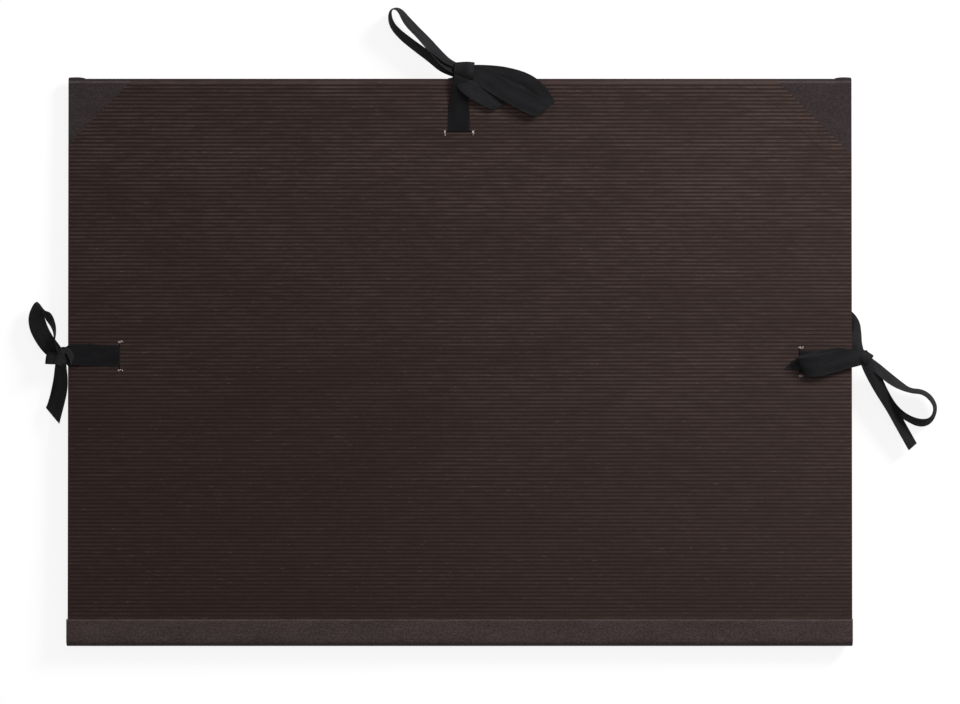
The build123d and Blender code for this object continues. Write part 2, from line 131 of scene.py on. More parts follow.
# %% Shader arithmetic
class Value:
    """One output of a node, with the operators that the materials below use."""

    def __init__(self, tree, socket):
        self.tree, self.socket = tree, socket

    def node(self, kind, settings=None, inputs=None, output=0):
        """Adds a node of a type, with its settings first and then its sockets' values or links."""
        made = self.tree.nodes.new(kind)
        for name, value in (settings or {}).items():
            setattr(made, name, value)
        for name, value in (inputs or {}).items():
            socket = made.inputs[name]
            if isinstance(value, Value):
                self.tree.links.new(value.socket, socket)
            else:
                socket.default_value = value
        return Value(self.tree, made.outputs[output])

    def math(self, operation, *others):
        """A Math node's result, with this value as its first."""
        inputs = {0: self, **{i + 1: other for i, other in enumerate(others)}}
        return self.node("ShaderNodeMath", {"operation": operation}, inputs)

    def __add__(self, other):
        return self.math("ADD", other)

    def __sub__(self, other):
        return self.math("SUBTRACT", other)

    def __mul__(self, other):
        return self.math("MULTIPLY", other)

    def __neg__(self):
        return self * -1

    def __rsub__(self, other):
        return -self + other

    __radd__, __rmul__ = __add__, __mul__

    def sine(self):
        return self.math("SINE")

    def step_between(self, low, high):
        """0 below low, 1 above high and smooth between them."""
        inputs = {"Value": self, "From Min": low, "From Max": high}
        return self.node("ShaderNodeMapRange", {"interpolation_type": "SMOOTHSTEP"}, inputs)

    def mix(self, low_colour, high_colour):
        """A colour between two, this value being how far."""
        inputs = {0: self, 6: low_colour, 7: high_colour}
        return self.node("ShaderNodeMix", {"data_type": "RGBA"}, inputs, output=2)

    def noise(self, scale, detail=3.0, roughness=0.55):
        """Noise over this vector, with its own scale for each of the three directions."""
        stretched = self.node("ShaderNodeMapping", {}, {"Vector": self, "Scale": scale})
        inputs = {"Vector": stretched, "Scale": 1.0, "Detail": detail, "Roughness": roughness}
        return self.node("ShaderNodeTexNoise", {}, inputs)

    def part(self, axis):
        """One of the three numbers of this vector."""
        return self.node("ShaderNodeSeparateXYZ", {}, {0: self}, output=axis)


def tone(red, green, blue):
    """A colour given as a screen shows it, from 0 to 255, turned into light by the sRGB curve."""
    def linear(value):
        value /= 255
        return value / 12.92 if value <= 0.04045 else ((value + 0.055) / 1.055) ** 2.4
    return (linear(red), linear(green), linear(blue), 1.0)


def new_material(name, coordinates="Object"):
    """An empty material: its shader node and the coordinates that its patterns use."""
    material = bpy.data.materials.new(name)
    material.use_nodes = True
    shader = material.node_tree.nodes["Principled BSDF"]
    place = Value(material.node_tree, None).node("ShaderNodeTexCoord", output=coordinates)
    return material, shader, place


def finish_material(shader, colour, roughness, height, depth, specular):
    """Wires a colour, a roughness and a bump height, its depth in metres, to a shader."""
    bump = height.node("ShaderNodeBump", {}, {"Height": height, "Distance": depth})
    for name, value in {"Base Color": colour, "Roughness": roughness, "Normal": bump}.items():
        shader.id_data.links.new(value.socket, shader.inputs[name])
    shader.inputs["Specular IOR Level"].default_value = specular


# %% [markdown]
# ## Ribbed paper
#
# The cover paper is a dark brown kraft, pressed into ribs. The imported solid has the ribs. What
# it lacks is the paper: rib tops rubbed paler and grooves painted darker, partly by wear and
# partly as painted shade in the grooves, long fibres along the ribs, a slow mottling from the glue
# below, and a few pale hairs. The ribs are evenly spaced, so a cosine of Y finds them, and its
# place is wobbled a little by noise, as a pressed rib wanders. In patches the ribs were pressed
# less sharply, and there they are fainter. Towards the open edge and the upper right the rib tops
# carry a painted highlight, where the light grazes them, and the band that turns over the edge is
# a painted highlight too, with painted shade where the paper turns down. The right side is painted
# lighter, its grooves as well, as painted light from that side. Under the paper at the free
# corners lies a lap of corner cloth, which shows as a faint step.

# %% Ribbed paper
RIB_PITCH, FIRST_RIB = 3.53 * MM, -231.62 * MM
WANDER = 0.9 * MM               # how far a rib leaves its line
# The band from SMOOTH_BAND to the open edge carries a painted highlight, and the strip past
# EDGE_TURN painted shade.
SMOOTH_BAND = OPEN_Y - 5.6 * MM, OPEN_Y - 4.9 * MM      # where the ribs end at the open edge
EDGE_TURN = OPEN_Y - 2.5 * MM, OPEN_Y - 1.7 * MM        # where the paper turns down
LAP_LINE = 526 * MM             # where |x| + y meets the edge of the cloth below the paper
LAP_STEP = LAP_LINE - 0.5 * MM, LAP_LINE + 0.9 * MM


def ribbed_paper():
    """Dark paper in ribs, with worn tops, painted light and shade, fibres, patches and the corner
    lap.
    """
    material, shader, place = new_material("ribbed_paper")
    x, y = place.part(0), place.part(1)
    mottle = place.noise((7, 20, 20), detail=4.0)
    wobble = (place.noise((16, 60, 60), detail=1.0) - 0.5) * WANDER
    phase = (y + wobble - FIRST_RIB) * (2 * pi / RIB_PITCH)
    # Painted highlight: the band that turns over the open edge is painted as one pale rib top.
    turned = y.step_between(*SMOOTH_BAND)
    rib = phase.math("COSINE").step_between(-0.75, 0.85).math("MAXIMUM", turned)
    # Painted shade where the paper turns down at the open edge.
    rib = rib * (1 - y.step_between(*EDGE_TURN) * 0.6)
    streaks = place.noise((55, 300, 300), detail=4.0, roughness=0.65)
    hairs = place.noise((130, 1300, 1300), detail=2.0).step_between(0.64, 0.78)
    # Painted highlight on the rib tops, stronger towards the open edge and the upper right, where
    # the light grazes the ribs.
    painted_rib_light = (x * 0.2 + y + (mottle - 0.5) * 0.15).step_between(-0.26, 0.44)
    # Painted light from the right: the paper and its grooves are painted lighter towards that
    # side.
    painted_light = x.step_between(-0.30, 0.42)
    # Random wear on the rib tops, with the painted highlights and the painted light from the right
    # added to it.
    wear_and_painted_light = (mottle * 0.25 + streaks * 0.75).step_between(0.36, 0.66)
    wear_and_painted_light = (wear_and_painted_light + turned * 0.5) * (0.45 + 0.55 * painted_rib_light) + painted_rib_light * 0.16 + painted_light * 0.20
    top = wear_and_painted_light.mix(tone(42, 32, 30), tone(68, 55, 51))
    # Grooves darker than the rib tops, partly by wear and partly as painted shade in the grooves.
    groove = painted_light.mix(tone(36, 25, 23), tone(42, 31, 28))
    pressed = place.noise((9, 34, 34), detail=3.0).step_between(0.36, 0.62)
    colour = (rib * (0.60 + 0.32 * painted_rib_light) * (0.72 + 0.40 * pressed)).mix(groove, top)
    colour = (hairs * rib * 0.35).mix(colour, tone(118, 102, 95))
    lapped = (x.math("ABSOLUTE") + y).step_between(*LAP_STEP)
    grain = place.noise((900, 1800, 1800), detail=2.0)
    height = streaks * 0.5 + grain * 0.3 + rib * 0.6 + lapped * 1.5
    finish_material(shader, colour, 0.7 - wear_and_painted_light * 0.1, height, 0.12 * MM, specular=0.075)
    return material


# %% [markdown]
# ## Book cloth
#
# The spine and the corners are plain-woven cotton with a little starch. Up close it is a grid of
# threads, and from a step away a fine speckle, because some threads are thicker and some gaps
# are filled. The weave is two sines at right angles, and noise gives the speckle and the slubs.
# Bands of the cloth are painted pale as a painted highlight, as along the spine's cut edge and the
# turn of a corner, where the edge catches the light, or painted dark as painted shade, as along
# the spine's fold, which turns away from the light.

# %% Book cloth
THREAD_PITCH = 0.62 * MM
# The colour of painted shade, as at the spine's fold.
PAINTED_SHADE = tone(24, 18, 17)


def band(value, start, end, soft):
    """1 where a value lies between start and end, and fading over soft on both sides."""
    return value.step_between(start - soft, start) - value.step_between(end, end + soft)


def book_cloth(name, dark, light, highlight=None, bands=()):
    """Cloth in two shades, with bands of (start, end, soft, strength) along Y. A band is a painted
    highlight where its strength is above zero, and painted shade where it is below."""
    material, shader, place = new_material(name)
    threads = 2 * pi / THREAD_PITCH
    warp = (place.part(0) * threads).sine()
    weft = ((place.part(1) + place.part(2)) * threads).sine()
    weave = (warp * weft) * 0.5 + 0.5
    speckle = place.noise((560, 560, 560), detail=3.0, roughness=0.7).step_between(0.34, 0.68)
    slubs = place.noise((60, 700, 700), detail=3.0).step_between(0.52, 0.74)
    cloudy = place.noise((25, 60, 60), detail=3.0)
    shade = speckle * 0.35 + slubs * 0.2 + weave * 0.15 + cloudy * 0.4
    colour = shade.step_between(0.15, 0.85).mix(dark, light)
    # Noise that breaks up the bands of painted highlight and painted shade.
    patchy = place.noise((90, 400, 400), detail=4.0).step_between(0.36, 0.62)
    for start, end, soft, strength in bands:
        share = band(place.part(1), start, end, soft) * (0.45 + 0.55 * patchy) * abs(strength)
        colour = share.mix(colour, highlight if strength > 0 else PAINTED_SHADE)
    height = weave * 0.6 + speckle * 0.4
    finish_material(shader, colour, 0.78 - speckle * 0.1, height, 0.14 * MM, specular=0.085)
    return material


# %% [markdown]
# ## Cotton tape
#
# The tapes are black twill. Their threads run along and across the tape wherever it turns, so
# the pattern uses the strip's own UV map, which is laid out in metres. The selvedges are woven
# denser and stand a little proud. The strap that lies flat beside the slit is painted darker, as
# painted shade from the bow above it, and the tied ends keep the lighter black.

# %% Cotton tape
TWILL_PITCH, FINE_PITCH = 0.9 * MM, 0.45 * MM
HALF_TAPE = TAPE_WIDTH / 2
SELVEDGE = HALF_TAPE - 1.3 * MM, HALF_TAPE - 0.9 * MM  # where it starts, from the middle
# Painted shade on the flat strap beside the slit eases off between these two lengths along the
# tape.
STRAP_SHADE_ENDS = FLAT_STRAP, FLAT_STRAP + 25 * MM             # where the black starts to fade


def cotton_tape():
    """Black twill with selvedges, a little lint and wear, and painted shade on the flat strap."""
    material, shader, place = new_material("cotton_tape", "UV")
    along, across = place.part(0), place.part(1)
    twill = ((along + across) * (2 * pi / TWILL_PITCH)).sine() * 0.5 + 0.5
    fine = ((along - across) * (2 * pi / FINE_PITCH)).sine() * 0.5 + 0.5
    selvedge = (across - HALF_TAPE).math("ABSOLUTE").step_between(*SELVEDGE)
    wear = place.noise((50, 160, 1), detail=4.0)
    lint = place.noise((1400, 1400, 1), detail=1.0).step_between(0.70, 0.82)
    shade = twill * 0.3 + fine * 0.15 + wear * 0.55 + selvedge * 0.1
    colour = shade.step_between(0.25, 0.8).mix(tone(21, 21, 22), tone(41, 40, 42))
    # Painted shade: the flat strap beside the slit is painted darker, as in the shadow of the bow.
    painted_light = along.step_between(*STRAP_SHADE_ENDS)
    colour = (0.5 * (1 - painted_light)).mix(colour, tone(9, 8, 10))
    colour = (lint * 0.2).mix(colour, tone(80, 76, 74))
    height = twill * 0.6 + fine * 0.3 + selvedge * 0.8
    finish_material(shader, colour, 0.80 - wear * 0.12, height, 0.10 * MM, specular=0.02)
    return material


# %% [markdown]
# ## Lining, board and torn paper
#
# The lining is smooth dark paper with a faint laid grain. The grey board shows only inside the
# slits. Where the slits were punched, pale fibres of paper stick out at their ends. One function
# makes all three, with shades and a grain of their own.

# %% Lining, board and torn fibres
def plain_paper(name, dark, light, grain):
    """Paper or board between two shades, its fibres as fine as grain says for each direction."""
    material, shader, place = new_material(name)
    fibres = place.noise(grain, detail=4.0)
    flecks = place.noise((700, 700, 700), detail=2.0).step_between(0.62, 0.75)
    colour = (fibres * 0.8 + flecks * 0.2).step_between(0.25, 0.75).mix(dark, light)
    height = fibres * 0.7 + flecks * 0.3
    finish_material(shader, colour, 0.85 - fibres * 0.1, height, 0.05 * MM, specular=0.085)
    return material


# %% [markdown]
# ## Every finish on its pieces
#
# The spine's cloth has a painted highlight along its cut edge and painted shade at its fold. The
# corners' cloth has a painted highlight where it turns over the open edge. A node's name says
# which finish it takes: the first of the words below that is found in it.

# %% All finishes
# Painted highlight along the spine cloth's cut edge, and painted shade at its fold, which turns
# away from the light.
SPINE_BANDS = [
    (LAP_EDGE - 1.5 * MM, LAP_EDGE + 1 * MM, 0.5 * MM, 0.5),
    (HINGE_Y - 9 * MM, HINGE_Y + 1.2 * MM, 1.8 * MM, -0.2),
]
# Painted highlight where the corner cloth turns over the open edge.
CORNER_BANDS = [(OPEN_Y - 3.7 * MM, OPEN_Y - 2.3 * MM, 0.6 * MM, 0.5)]
paper = ribbed_paper()
spine_finish = book_cloth("spine_cloth", tone(45, 35, 35), tone(71, 59, 59),
                          highlight=tone(90, 78, 76), bands=SPINE_BANDS)
cloth = book_cloth("book_cloth", tone(46, 37, 37), tone(70, 59, 59))
corner_cloth = book_cloth("corner_cloth", tone(39, 32, 33), tone(54, 46, 46),
                          highlight=tone(90, 82, 81), bands=CORNER_BANDS)
tape_finish = cotton_tape()
lining_paper = plain_paper("lining_paper", tone(40, 34, 33), tone(50, 43, 41), (40, 300, 300))
grey_board = plain_paper("grey_board", tone(112, 104, 95), tone(142, 134, 122), (300, 300, 300))
torn_paper = plain_paper("torn_paper", tone(170, 160, 152), tone(225, 218, 212), (900, 900, 900))


def paint(thing, material):
    """Gives a thing one finish all over."""
    thing.data.materials.clear()
    thing.data.materials.append(material)


FINISHES = {
    "spine_lining": cloth, "spine_cloth": spine_finish, "hinge_strip": cloth,
    "corner": corner_cloth, "cover_paper": paper, "board": grey_board, "lining": lining_paper,
    "ribbon": tape_finish, "bow": tape_finish,
}
for node_name, node in nodes.items():
    word = next(w for w in FINISHES if w in node_name)
    paint(node, FINISHES[word])
print("finishes:", len(FINISHES), "on", len(nodes), "nodes")

# %% [markdown]
# ## How a tape is laid
#
# A tape is a flat strip that turns in three directions at once, and no primitive does that. A
# grid is added with as many rows as its route has points, and each row is then laid across the
# route. Two smooth lines carry it: one down the middle of the tape and one along its edge. Each
# is a NURBS spline with listed stations as its control points, so nothing kinks. Where the two
# lines come nearer than half the tape's width, the tape is folded lengthwise, with the rest of it
# tucked under, so that every row still holds the full width. That is how a real tape goes into a
# knot.

# %% Smooth lines
def smooth_line(points, steps=12):
    """Points down a NURBS spline of order 3 that starts and ends at its first and last station."""
    curve = bpy.data.curves.new("route", "CURVE")
    curve.dimensions = "3D"
    curve.resolution_u = steps
    spline = curve.splines.new("NURBS")
    spline.points.add(len(points) - 1)
    for point, place in zip(spline.points, points):
        point.co = (*place, 1)
    spline.order_u = 3
    spline.use_endpoint_u = True
    holder = bpy.data.objects.new("route", curve)
    mesh = bpy.data.meshes.new_from_object(holder)
    line = [v.co.copy() for v in mesh.vertices]
    bpy.data.meshes.remove(mesh)
    bpy.data.objects.remove(holder)
    bpy.data.curves.remove(curve)
    return line


def run_length(line):
    """How long a line of points is."""
    return sum((b - a).length for a, b in zip(line, line[1:]))


# %% Stations as places
def open_side(edge, out, along):
    """A tied side of the portfolio: the middle of its edge, and the ways out of and along it."""
    return {"edge": Vector((*edge, 0)), "out": Vector((*out, 0)), "along": Vector((*along, 0))}


SIDES = {
    "top": open_side(edge=(0, OPEN_Y), out=(0, 1), along=(-1, 0)),
    "left": open_side(edge=(-HALF_WIDTH, 0), out=(-1, 0), along=(0, 1)),
    "right": open_side(edge=(HALF_WIDTH, 0), out=(1, 0), along=(0, 1)),
}


def over_cover(side, stations):
    """Stations in millimetres over the front cover's plane, as places and edge vectors."""
    edge = SIDES[side]["edge"]
    placed = []
    for x, y, h, wide_x, wide_y, wide_z in stations:
        place = edge + Vector((x, y, 0)) * MM
        place.z = front_height(place.y) + h * MM
        placed.append((place, Vector((wide_x, wide_y, wide_z - wide_y * SLOPE)) * MM))
    return placed


def over_ground(side, stations):
    """Stations in millimetres over the ground, as places and edge vectors."""
    edge = SIDES[side]["edge"]
    return [(edge + Vector((x, y, h)) * MM, Vector(wide) * MM) for x, y, h, *wide in stations]


# %% Folding a tape lengthwise
ACROSS = 24            # faces across a tape
LAYER = 0.45 * MM      # from one layer of a fold to the next
FOLD_TURN = 0.9 * MM   # how much tape goes from one layer down to the next
LEAST_FOLD = 0.3 * MM  # the least width of each layer below the top one


def kept_within(value, low, high):
    """A value, or the limit that it passes."""
    return min(max(value, low), high)


def folded_section(half):
    """How a tape is folded where its visible width is twice this half: the place across it from
    -1 to 1, the place in the tape and how many layers down, for each vertex of a row."""
    first = min(2 * half, TAPE_WIDTH - 2 * LEAST_FOLD)
    second = min(4 * half, TAPE_WIDTH - LEAST_FOLD)
    marks = [0, first, second, TAPE_WIDTH]
    shares = [ACROSS // 2, ACROSS // 4, ACROSS // 4]
    in_tape = [0.0]
    for low, high, count in zip(marks, marks[1:], shares):
        in_tape += [low + (high - low) * (k + 1) / count for k in range(count)]
    section = []
    for s in in_tape:
        turns, rest = divmod(s, 2 * half)
        across = rest - half if turns % 2 == 0 else half - rest
        depth = sum(kept_within((s - 2 * half * k) / FOLD_TURN, 0, 1) for k in (1, 2))
        if 2 * half >= TAPE_WIDTH:
            across, depth = (s / TAPE_WIDTH - 0.5) * 2 * half, 0
        section.append((across / half, s, depth))
    return section


# %% A grid to lay, and its thickness
SMOOTH_BELOW = radians(50)  # edges that turn more than this stay sharp


def select_only(*things):
    """Selects these objects and no others, and makes the first of them active."""
    bpy.ops.object.select_all(action="DESELECT")
    for thing in things:
        thing.select_set(True)
    bpy.context.view_layer.objects.active = things[0]


def new_grid(name, rows, columns):
    """A flat grid one metre square, to be laid vertex by vertex."""
    bpy.ops.mesh.primitive_grid_add(x_subdivisions=rows, y_subdivisions=columns, size=1)
    grid = bpy.context.object
    grid.name = grid.data.name = name
    return grid


def grid_place(vertex, rows, columns):
    """Which row and column of its grid a vertex is in."""
    return round((vertex.co.x + 0.5) * rows), round((vertex.co.y + 0.5) * columns)


def thicken(thing, thickness, offset):
    """Gives a laid grid its thickness and smooths its faces."""
    wall = thing.modifiers.new("thickness", "SOLIDIFY")
    wall.thickness, wall.offset = thickness, offset
    select_only(thing)
    bpy.ops.object.modifier_apply(modifier=wall.name)
    bpy.ops.object.shade_smooth_by_angle(angle=SMOOTH_BELOW)


# %% Laying a tape along its stations
CROWN_RISE = 15 * MM        # over how much tape the crown comes up
ON_EDGE = 0.25              # a tape that faces up less than this folds partly to both sides
WAVES, WAVES_ACROSS = 60, 0.9     # how fast the noise changes along and across a tape
SEED_STEP = 3.1             # how far apart in the noise two tapes are
CUT_REACH = 1.5             # how far back a slanted cut reaches, in times its slant


def lay_tape(name, stations, restless=0.22 * MM, crown=0.35 * MM, floor=None, inside=None,
             seed=0, clip=0.0, start=0.0, crown_from=-CROWN_RISE):
    """A tape along (place, edge vector) stations, and its middle line.

    restless is how far it waves, and crown how far its middle stands up past crown_from. Folds
    go down, or towards the point inside. floor is the lowest height that it may have, clip how
    slanted its end is cut, and start how far along the tape the first station is.
    """
    middle = smooth_line([place for place, _ in stations])
    rail = smooth_line([place + wide for place, wide in stations])
    rows = len(middle) - 1
    length = run_length(middle)
    strip = new_grid(name, rows, ACROSS)
    travelled = [0.0]
    for a, b in zip(middle, middle[1:]):
        travelled.append(travelled[-1] + (b - a).length)
    in_tape = {}
    for vertex in strip.data.vertices:
        row, column = grid_place(vertex, rows, ACROSS)
        here, wide = middle[row], rail[row] - middle[row]
        along = (middle[min(row + 1, rows)] - middle[max(row - 1, 0)]).normalized()
        up = along.cross(wide).normalized()
        across, s, depth = folded_section(wide.length)[column]
        towards = (inside - here).normalized().dot(up) if inside else -up.z
        under = up * kept_within(towards / ON_EDGE, -1, 1)
        curved = crown * kept_within((travelled[row] - crown_from) / CROWN_RISE, 0, 1)
        lift = curved * (1 - across * across) * (wide.length / HALF_TAPE)
        waves = Vector((travelled[row] * WAVES, across * WAVES_ACROSS, seed * SEED_STEP))
        lift += restless * noise.noise(waves)
        place = here + wide * across - under * (lift - depth * LAYER)
        if clip:
            end_share = max(0, 1 - (length - travelled[row]) / (CUT_REACH * abs(clip)))
            place -= along * (clip * end_share * (0.5 + 0.5 * across))
        if floor is not None:
            place.z = max(place.z, floor)
        vertex.co = place
        in_tape[vertex.index] = (start + travelled[row], s)
    for loop, uv in zip(strip.data.loops, strip.data.uv_layers.active.data):
        uv.uv = in_tape[loop.vertex_index]
    thicken(strip, TAPE_THICKNESS, offset=0)
    paint(strip, tape_finish)
    return strip, middle


# %% [markdown]
# ## The stations of the front tapes and bows
#
# Each front tape starts glued under the lining, comes up through its slit and runs out to the
# knot. There it goes into one loop and ends in a tail. The other loop and tail belong to the
# back tape of the pair. The numbers are millimetres from the middle of that side's edge, then
# the height over the cover, then the vector from the tape's middle to its edge. The back tapes
# have a list of their own, with heights over the ground.

# %% Through the slits
SLIT_INSET = {"top": 48.5, "left": 47.0, "right": 48.2}  # from the cover's edge, in millimetres
SLIT_SHIFT = {"top": -1.0, "left": 5.0, "right": -0.2}   # off the middle of the side
GLUED, ON_RIBS = -2.9, 0.19        # heights over the front cover's rib tops
GLUED_BACK, ON_GROUND = 3.2, 0.15  # heights of the back tapes over the ground
TAB = 22.0                         # length of a glued end
BEND = 0.8                         # how soon a tape turns at a slit


def through_slit(side, tab_level, out_level):
    """Stations of a tape's glued end and its way through the slit."""
    out, along = SIDES[side]["out"], SIDES[side]["along"]
    way = BEND if out_level > tab_level else -BEND
    profile = [(-TAB, tab_level), (-TAB / 2, tab_level), (-BEND, tab_level), (0, tab_level),
               (0, tab_level + way), (0, out_level - way), (0, out_level), (BEND, out_level)]
    inset, shift, half = SLIT_INSET[side], SLIT_SHIFT[side], HALF_TAPE / MM
    stations = []
    for u, h in profile:
        x = out.x * (u - inset) + abs(along.x) * shift
        y = out.y * (u - inset) + abs(along.y) * shift
        stations.append((x, y, h, along.x * half, along.y * half, 0.0))
    return stations


# %% Stations over the front cover
STRAPS = {
    "top": [
        (-0.9, -36.4, 0.25, -9.9, 0.0, 0.0), (-0.9, -24.5, 0.7, -9.2, 0.0, 0.0),
        (-0.5, -13.0, 2.6, -7.8, 0.0, 0.0), (0.5, -4.0, 5.2, -6.9, 0.0, 0.0),
        (1.4, 2.5, 6.2, -6.2, 0.0, 0.0), (1.8, 6.5, 2.8, -5.4, 0.5, 0.0),
    ],
    "left": [
        (29.4, 5.6, 0.35, 0, 9.7, 0), (16.5, 6.0, 1.5, 0, 9.6, 0), (8.0, 6.2, 2.5, 0, 9.5, 0),
        (2.0, 6.2, 2.7, 0.6, 9.3, 0), (-2.6, 6.0, 1.6, 1.6, 8.0, 0), (-4.8, 5.6, -1.6, 0, 5.6, 0),
    ],
    "right": [
        (-34.0, -0.5, 0.25, 0.0, 9.9, 0.0), (-20.2, 0.0, 0.3, 0.0, 9.2, 0.0),
        (-3.7, 0.9, 0.7, 0.0, 7.8, 0.0), (4.6, 1.6, 1.2, 0.0, 5.5, 0.0),
        (12.9, 2.3, 1.5, 0.0, 4.1, 0.0),
    ],
}
LOOPS = {
    "top leaf": [
        (3.7, 6.8, 1.0, 0.0, 5.5, -1.0), (22.0, 3.8, 1.8, -0.9, 8.9, 0.0),
        (41.2, 1.0, 2.8, 2.3, 9.6, 1.5), (61.0, -5.0, 3.8, 4.4, 8.8, 2.0),
        (73.4, -16.0, 4.2, 5.6, 8.2, 1.4), (81.6, -27.0, 6.2, 6.4, 4.4, 0.6),
        (77.0, -29.4, 7.8, 6.3, 6.8, 0.8), (64.3, -23.0, 7.6, 4.9, 8.3, 1.2),
        (44.1, -12.0, 7.0, 4.3, 8.7, 1.2), (25.7, -2.4, 5.6, 2.8, 7.8, 0.4),
        (7.3, 5.9, 3.2, 0.9, 5.5, 0.0),
    ],
    "top tail": [
        (0.9, 6.8, 1.5, -6.0, 0.0, 0.0), (1.4, -1.6, 4.6, -6.0, -3.0, 0.0),
        (7.6, -9.0, 5.2, -5.2, -5.2, 0.6), (22.0, -17.8, 4.3, -4.2, -5.6, 0.4),
        (38.6, -27.4, 3.0, -3.4, -4.6, 0.4),
    ],
    "top long loop": [
        (1.8, 6.8, 1.0, 2.6, 4.6, -1.0), (-10.1, 11.4, 2.5, 3.0, 4.6, -5.0),
        (-20.4, 22.0, 3.5, 3.6, 3.8, -7.8), (-34.4, 38.0, 4.5, 3.4, 3.0, -8.8),
        (-48.4, 52.0, 5.0, 3.3, 3.0, -8.9), (-56.2, 64.6, 4.5, 1.0, 2.4, -9.6),
        (-64.6, 63.4, 4.0, -1.4, 1.0, -9.8), (-64.0, 51.4, 3.5, -2.2, -0.6, -9.7),
        (-56.4, 41.4, 3.2, -2.0, -2.2, -9.5), (-42.2, 30.2, 3.0, -2.1, -2.7, -9.3),
        (-27.0, 19.2, 2.5, -2.2, -3.1, -9.2), (-13.8, 8.2, 1.5, -2.0, -3.6, -7.0),
        (0.0, 5.0, 0.5, -0.9, -4.6, -2.0),
    ],
    "left loop": [
        (-8.0, 5.6, 0.8, -4.2, -4.2, -1.0), (-14.2, 11.0, 2.5, -6.4, -4.6, -1.6),
        (-21.8, 20.6, 1.6, -7.2, -4.0, -2.0), (-27.6, 32.0, 1.0, -8.5, -1.6, -2.0),
        (-28.8, 42.0, 0.4, -8.0, 2.2, -3.0), (-25.8, 52.6, -0.4, -3.0, 6.2, -6.0),
        (-18.8, 42.8, -1.0, -4.0, -2.8, -8.5), (-13.6, 33.4, -1.0, -3.2, -1.2, -9.2),
        (-12.1, 25.4, -0.6, -2.2, -0.2, -9.6), (-12.6, 19.0, 0.4, -1.5, 0.0, -9.5),
        (-10.2, 13.4, 1.6, -0.6, 0.6, -8.6), (-6.4, 7.0, 2.8, 1.8, 1.0, -3.0),
    ],
    "left tail": [
        (-5.4, 5.2, 3.0, -4.6, 0.0, 0.0), (-6.4, -4.1, 2.2, -5.4, 0.0, -2.0),
        (-6.5, -14.2, 0.2, -6.8, 0.3, -4.0), (-8.0, -26.0, -2.5, -7.6, 1.6, -4.2),
        (-11.0, -38.2, -4.3, -7.4, 2.4, -4.2), (-15.9, -54.3, -5.0, -7.8, 3.0, -3.0),
    ],
    "left short loop": [
        (-2.8, 4.1, 2.0, 0.0, 5.5, 0.0), (-12.9, 3.2, 1.0, 0.5, 6.0, 0.0),
        (-19.7, 3.2, 1.4, 0.9, 5.5, 0.0), (-19.7, 3.2, 4.4, 0.9, 5.5, 0.0),
        (-12.9, 3.2, 5.0, 0.5, 6.0, 0.0), (-2.8, 4.1, 4.5, 0.0, 6.4, 0.0),
    ],
    "left short tail": [
        (-1.8, 6.9, 1.2, 0.6, 5.5, 0), (5.5, 7.4, 0.4, -0.6, 5.6, 0),
        (12.5, 7.6, 0.3, -2.4, 4.6, 0), (17.0, 9.0, 0.3, -2.9, 4.1, 0),
        (20.9, 11.6, 0.3, -2.9, 4.1, 0),
    ],
    "right leaf": [
        (12.9, 2.3, 1.6, 0.0, 4.1, 0.0), (3.7, 1.8, 2.2, 0.5, 6.9, 0.0),
        (-9.2, 3.0, 2.2, 0.0, 9.9, 0.6), (-24.0, 1.6, 2.0, -2.0, 9.9, 0.6),
        (-37.4, -2.0, 2.6, -3.9, 9.0, 0.6),
        (-49.4, -4.8, 5.0, -4.4, 7.8, 1.4), (-43.0, -5.6, 7.8, -4.1, 8.8, 2.6),
        (-28.4, -3.3, 8.8, -2.8, 9.6, 3.2), (-11.0, 1.8, 8.2, -0.9, 9.7, 3.2),
        (2.8, 2.8, 6.2, 0.0, 7.2, 1.6), (12.9, 2.3, 3.5, 0.0, 4.1, 0.0),
    ],
    "right tail": [
        (8.6, 8.2, 1.5, -3.4, -2.8, 0.0), (10.2, 6.6, 4.6, -4.1, -3.0, 0.0),
        (13.6, -4.6, 5.0, -4.2, -3.1, 0.0), (23.9, -23.4, 4.2, -4.5, -2.8, -1.0),
        (35.8, -42.7, 2.4, -4.0, -2.7, 0.2), (44.1, -57.4, -1.5, -4.1, -2.9, 2.2),
        (56.5, -78.5, -6.0, -4.1, -3.1, 3.0),
    ],
    "right round loop": [
        (11.9, 2.3, 1.5, 1.8, 3.7, 0.0), (22.0, -5.1, 1.2, 2.3, 4.1, -5.0),
        (32.1, -13.8, 0.0, 2.8, 4.4, -7.5), (43.2, -21.6, -1.0, 2.6, 3.3, -8.5),
        (54.2, -27.1, -1.2, 0.8, 2.2, -9.3), (64.3, -27.6, -1.2, 1.2, 2.3, -9.4),
        (72.2, -32.6, -1.2, 2.4, 1.9, -9.3), (77.7, -42.7, -1.2, 3.1, 0.0, -9.3),
        (73.4, -54.5, -1.2, 2.0, -2.8, -9.1), (63.4, -57.2, -1.5, 0.0, -3.8, -8.8),
        (51.2, -52.2, -1.8, -1.3, -2.2, -9.2), (40.2, -44.0, -2.5, -1.6, -1.8, -9.0),
        (31.0, -31.5, -2.8, -2.6, -1.8, -8.0), (22.6, -14.2, -1.2, -3.6, -1.9, -3.5),
        (13.8, 0.5, 1.0, -3.7, -0.9, 0.0),
    ],
    "right short tail": [
        (12.9, 1.8, 1.3, 0, 3.7, 0), (-1.8, 0.9, 1.3, 0, 5.1, 0), (-24.8, 0, 1.2, 0, 5.5, 0),
        (-42.2, -1.3, 0.9, 0.3, 5.4, 0), (-52.0, -2.6, 0.5, 0.2, 4.8, 0),
        (-62.5, -3.4, 0.3, 0.2, 3.6, 0),
    ],
}

